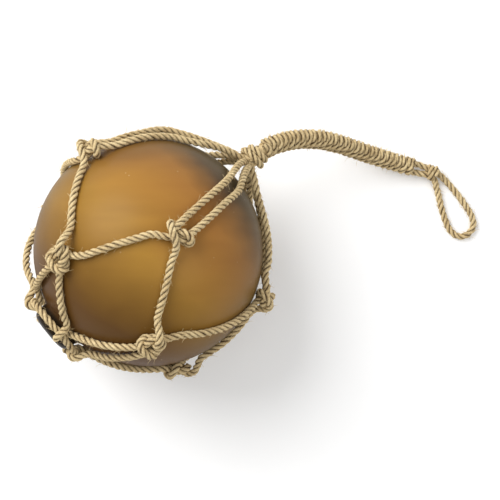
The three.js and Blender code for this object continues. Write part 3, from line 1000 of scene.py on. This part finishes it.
tip, tip_ahead, tip_right, _ = across_handle(handle_length)
level = np.array((tip_ahead[0], tip_ahead[1], 0)) / math.hypot(tip_ahead[0], tip_ahead[1])
knot_middle = tip + tip_ahead * KNOT_PAST_TIP
knot_middle[2] = KNOT_HEIGHT
print("end knot:", [round(float(x) * 1000, 2) for x in knot_middle])


def by_the_knot(x, y, z):
    """A place given in millimetres from the knot's middle, but with its height above the floor."""
    return np.array((knot_middle[0], knot_middle[1], 0)) + np.array((x, y, z)) * MILLIMETRE


turn_line = []
for share in np.linspace(0, 1, 40):
    angle = 2 * math.pi * END_TURNS * share + END_TURN_START
    radius = END_TURN_RADIUS - END_TURN_TUCK * abs(2 * share - 1) ** 6
    outward = math.cos(angle) * np.array((0, 0, 1)) + math.sin(angle) * tip_right
    ahead = END_TURN_LENGTH * share - END_TURN_BACK
    turn_line.append(knot_middle + level * ahead + outward * radius)
laid_cord("end_knot_turn", [smooth_route(turn_line, STRAND_STEP)], jute, "end_knot")

# %% The two core cords through the knot
IN_WHIPPING = 0.003
CORDS_ASIDE = (0.0026, 0.0024, 0.0017)

for name, side, into_loop in (
    ("end_cord_left", -1, [(2.3, 1, 4.5), (3.8, 0.1, 4.1), (4.9, -0.9, 3.8)]),
    ("end_cord_right", 1, [(1.5, -3, 3.9), (2.9, -5.1, 3.2), (3.15, -6.1, 3)]),
):
    cord_line = smooth_route([
        tip - tip_ahead * IN_WHIPPING + tip_right * side * CORDS_ASIDE[0],
        tip + tip_ahead * IN_WHIPPING + tip_right * side * CORDS_ASIDE[1],
        knot_middle + tip_right * side * CORDS_ASIDE[2],
        *[by_the_knot(*place) for place in into_loop],
    ], STRAND_STEP)
    laid_cord(name, [cord_line], jute, "end_knot")

# %% [markdown]
# ## The hanging loop
#
# A single bight of the same cord is tied to the end of the handle. It is the one free cord of the
# object, about 86 mm long, and it lies on the floor. Its points are the ones that the CAD solid
# follows, so it starts and ends where that solid does.

# %% Hanging loop
LOOP_SIDES = 10
LOOP_ROUTE = [
    (2.9, -5.1, 3.2), (3.9, -9.2, 2.3), (5.6, -15.6, 2), (7, -21.4, 2), (8.6, -26.6, 2),
    (10.4, -31.2, 2), (13, -34.8, 2), (16.6, -36.9, 2), (20.6, -36.5, 2), (23.9, -33.9, 2),
    (25.3, -29.7, 2), (24.1, -24.8, 2), (21.4, -20.2, 2), (18, -15.2, 2), (14, -10.2, 2),
    (8.7, -4.2, 2.6), (3.8, 0.1, 4.1),
]
loop_points = [by_the_knot(*place) for place in LOOP_ROUTE]
loop_line = smooth_route(loop_points, STRAND_STEP)
hanging_loop = laid_cord(
    "hanging_loop_cord", [loop_line], jute, "hanging_loop", sides=LOOP_SIDES
)

# %% [markdown]
# ## Stray fibres
#
# Jute is spun from coarse fibres, and their ends stand out all over the cord like short hair.
# Each is a thin bent tube that grows out of a cord at a random place and leans along it. The
# random numbers are seeded, so the same hair grows every time.

# %% Stray fibres
FIBRE_RADIUS = 0.00008
FIBRE_LENGTH = (0.0014, 0.0048)
FIBRE_LEAN = (0.6, 2.2)
FIBRE_BEND = 0.5
FIBRE_ROOT_OUT = 0.44
FIBRE_TAPER = (1.3, 1.1, 0.9, 0.7, 0.4)
FIBRE_FLOOR_GAP = 0.0003


def grow_fibres(name, lines, count, seed, *nodes):
    """Short bent hairs out of the given lines, as one piece."""
    chance = np.random.default_rng(seed)
    lengths = np.array([len(line) for line in lines], float)
    grown = []
    for pick in chance.choice(len(lines), count, p=lengths / lengths.sum()):
        line = lines[pick]
        start = chance.integers(1, len(line) - 1)
        ahead = line[start + 1] - line[start - 1]
        ahead /= np.linalg.norm(ahead)
        out = chance.normal(size=3)
        out -= ahead * np.dot(out, ahead)
        out /= np.linalg.norm(out)
        lean = ahead * chance.choice((-1, 1)) * chance.uniform(*FIBRE_LEAN)
        bend = chance.normal(size=3) * FIBRE_BEND
        whole = chance.uniform(*FIBRE_LENGTH)
        point = line[start] + out * ROPE * FIBRE_ROOT_OUT
        way = []
        for share in np.linspace(0, 1, len(FIBRE_TAPER)):
            heading = out * (0.5 + 0.5 * share) + lean * (1 - 0.4 * share) + bend * share
            heading /= np.linalg.norm(heading)
            way.append(point.copy())
            point = point + heading * whole / (len(FIBRE_TAPER) - 1)
            point[2] = max(point[2], FIBRE_FLOOR_GAP)
        grown.append(np.array(way))
    taper = [np.array(FIBRE_TAPER)] * count
    mesh = tubes_to_mesh(name, grown, FIBRE_RADIUS, sides=4, radii=taper)
    groove = mesh.attributes.new(GROOVE_MAP, "FLOAT", "POINT")
    groove.data.foreach_set("value", np.ones(len(mesh.vertices), np.float32))
    return show_piece(mesh, name, jute, "jute", *nodes)


for name, lines, count, seed, node in (
    ("net_fibres", settled, 2200, 11, "rope_net"),
    ("handle_fibres", [whipping_line], 700, 12, "handle_whipping"),
    ("loop_fibres", [loop_line], 90, 13, "hanging_loop"),
):
    grow_fibres(name, lines, count, seed, node)

# %% [markdown]
# ## Floor and light
#
# The photograph's ground is white, and its light is soft and comes from the upper left. A pale
# floor that glows a little, like a light table, a wide light there and an even pale surrounding
# give that.

# %% Floor
FLOOR_REACH = 3
FLOOR_GLOW = 0.1

floor_mesh = bpy.data.meshes.new("floor")
floor_shape = bmesh.new()
bmesh.ops.create_grid(floor_shape, x_segments=1, y_segments=1, size=FLOOR_REACH)
floor_shape.to_mesh(floor_mesh)
floor_shape.free()
floor = bpy.data.objects.new("floor", floor_mesh)
floor_board = Board("pale_floor")
floor_place = floor_board.node("TexCoord", output="Object")
grain = floor_board.noise(floor_place, 40, 2)
floor_mesh.materials.append(floor_board.finish({
    "Base Color": floor_board.blend(grain, (0.9, 0.9, 0.9), (0.93, 0.93, 0.93)),
    "Roughness": 0.9,
    "Specular IOR Level": 0.1,
    "Emission Color": (1, 0.995, 0.98, 1),
    "Emission Strength": FLOOR_GLOW,
}))
bpy.context.scene.collection.objects.link(floor)
print("floor:", 2 * FLOOR_REACH, "m wide")

# %% Lights and surroundings
SURROUNDING_LIGHT = 0.55


def soft_light(name, place, power, size):
    """A round light that faces the middle of the floor."""
    data = bpy.data.lights.new(name, "AREA")
    data.shape = "DISK"
    data.size = size
    data.energy = power
    light = bpy.data.objects.new(name, data)
    light.location = place
    light.rotation_euler = (-Vector(place)).to_track_quat("-Z", "Y").to_euler()
    bpy.context.scene.collection.objects.link(light)


soft_light("key", (-0.8, 0.75, 1.1), 24, 1.3)
soft_light("fill", (0.9, -0.3, 1.3), 5, 1.2)
world = bpy.data.worlds.new("surroundings")
world.use_nodes = True
background = world.node_tree.nodes["Background"]
background.inputs["Color"].default_value = (1, 1, 1, 1)
background.inputs["Strength"].default_value = SURROUNDING_LIGHT
bpy.context.scene.world = world
bpy.context.scene.view_settings.view_transform = "Standard"
